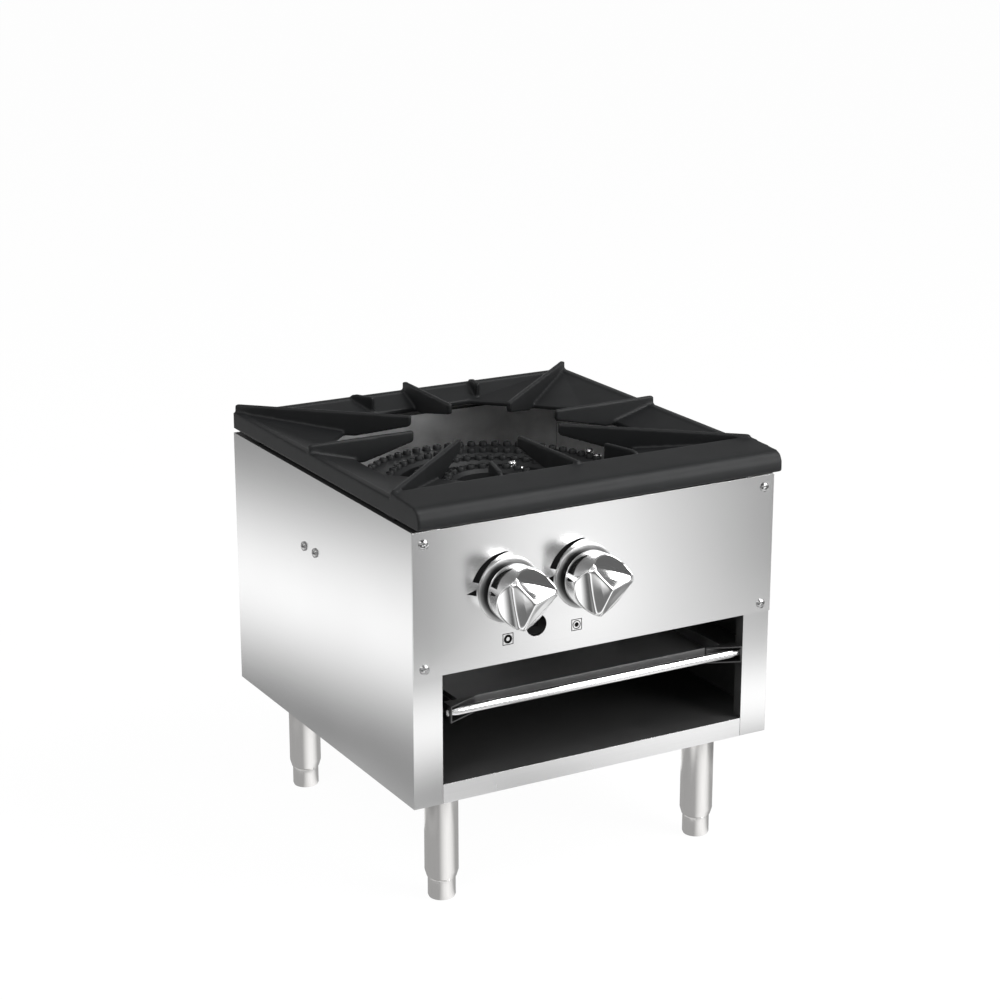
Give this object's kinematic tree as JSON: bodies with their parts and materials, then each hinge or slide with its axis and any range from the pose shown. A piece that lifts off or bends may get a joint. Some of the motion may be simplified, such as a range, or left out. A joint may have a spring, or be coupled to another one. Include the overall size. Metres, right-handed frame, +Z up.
{
  "type": "stock pot range",
  "caption": "Low gas range on four legs with a cast top grate over concentric ring burners, two front knobs, a slide-out drip tray and an open cabinet.",
  "frame": {"origin": "middle of the overall box on the floor", "axes": "+X to the right as seen by someone who faces the knobs, +Y to the back, +Z up"},
  "size_m": [0.4628, 0.543, 0.48],
  "materials": {
    "casing_steel": "satin",
    "panel_steel": "bright polished",
    "floor_steel": "matt",
    "screw_steel": "bright",
    "shield_steel": "dull aluminised",
    "frame_steel": "dull",
    "burner_iron": "matt",
    "pipe_steel": "dull black",
    "tube_steel": "satin",
    "brass": "satin",
    "knob_chrome": "mirror",
    "tray_steel": "dull",
    "rod_chrome": "mirror",
    "leg_steel": "satin",
    "grate_iron": "matt, fine grained"
  },
  "bodies": {
    "casing": {"air_shutter_inner": "frame_steel", "air_shutter_outer": "frame_steel", "back_panel": "casing_steel", "burner_support": "frame_steel", "cabinet_floor": "floor_steel", "control_panel": "panel_steel", "front_cross_rail": "frame_steel", "gas_inlet": "pipe_steel", "gas_manifold": "pipe_steel", "inner_burner": "burner_iron", "left_bezel": "knob_chrome", "left_gas_jet": "brass", "left_gas_valve": "brass", "left_heat_shield": "shield_steel", "left_side_panel": "casing_steel", "leg_front_left": "leg_steel", "leg_front_right": "leg_steel", "leg_plate_front_left": "frame_steel", "leg_plate_front_right": "frame_steel", "leg_plate_rear_left": "frame_steel", "leg_plate_rear_right": "frame_steel", "leg_rear_left": "leg_steel", "leg_rear_right": "leg_steel", "outer_burner": "burner_iron", "panel_screw_lower_left": "screw_steel", "panel_screw_lower_right": "screw_steel", "panel_screw_upper_left": "screw_steel", "panel_screw_upper_right": "screw_steel", "pilot_burner_inner": "screw_steel", "pilot_burner_outer": "screw_steel", "pilot_tube_inner": "tube_steel", "pilot_tube_outer": "tube_steel", "pilot_valve": "brass", "rear_heat_shield": "shield_steel", "right_bezel": "knob_chrome", "right_gas_jet": "brass", "right_gas_valve": "brass", "right_heat_shield": "shield_steel", "right_side_panel": "casing_steel", "side_screw_left_1": "screw_steel", "side_screw_left_2": "screw_steel", "side_screw_right_1": "screw_steel", "side_screw_right_2": "screw_steel", "tray_runner_left": "frame_steel", "tray_runner_right": "frame_steel"},
    "left_control": {"left_knob": "knob_chrome", "left_valve_stem": "brass"},
    "right_control": {"right_knob": "knob_chrome", "right_valve_stem": "brass"},
    "tray": {"drip_tray": "tray_steel", "tray_handle": "rod_chrome", "handle_bracket_left": "frame_steel", "handle_bracket_right": "frame_steel", "handle_bolt_left": "screw_steel", "handle_bolt_right": "screw_steel"},
    "grate": {"top_grate": "grate_iron"},
    "front_left_foot": {"foot_front_left": "leg_steel"},
    "front_right_foot": {"foot_front_right": "leg_steel"},
    "rear_left_foot": {"foot_rear_left": "leg_steel"},
    "rear_right_foot": {"foot_rear_right": "leg_steel"}
  },
  "joints": [
    {"name": "left_knob_turn", "type": "hinge", "parent": "casing", "child": "left_control", "pos_m": [-0.1135, -0.2435, 0.3655], "axis": [0, -1, 0], "range_deg": [0, 90]},
    {"name": "right_knob_turn", "type": "hinge", "parent": "casing", "child": "right_control", "pos_m": [-0.019, -0.2435, 0.3655], "axis": [0, -1, 0], "range_deg": [0, 90]},
    {"name": "tray_slide", "type": "slide", "parent": "casing", "child": "tray", "axis": [0, -1, 0], "range_m": [0, 0.32]},
    {"name": "grate_lift", "type": "slide", "parent": "casing", "child": "grate", "axis": [0, 0, 1], "range_m": [0, 0.1]},
    {"name": "front_left_foot_screw", "type": "slide", "parent": "casing", "child": "front_left_foot", "axis": [0, 0, -1], "range_m": [0, 0.025]},
    {"name": "front_right_foot_screw", "type": "slide", "parent": "casing", "child": "front_right_foot", "axis": [0, 0, -1], "range_m": [0, 0.025]},
    {"name": "rear_left_foot_screw", "type": "slide", "parent": "casing", "child": "rear_left_foot", "axis": [0, 0, -1], "range_m": [0, 0.025]},
    {"name": "rear_right_foot_screw", "type": "slide", "parent": "casing", "child": "rear_right_foot", "axis": [0, 0, -1], "range_m": [0, 0.025]}
  ]
}
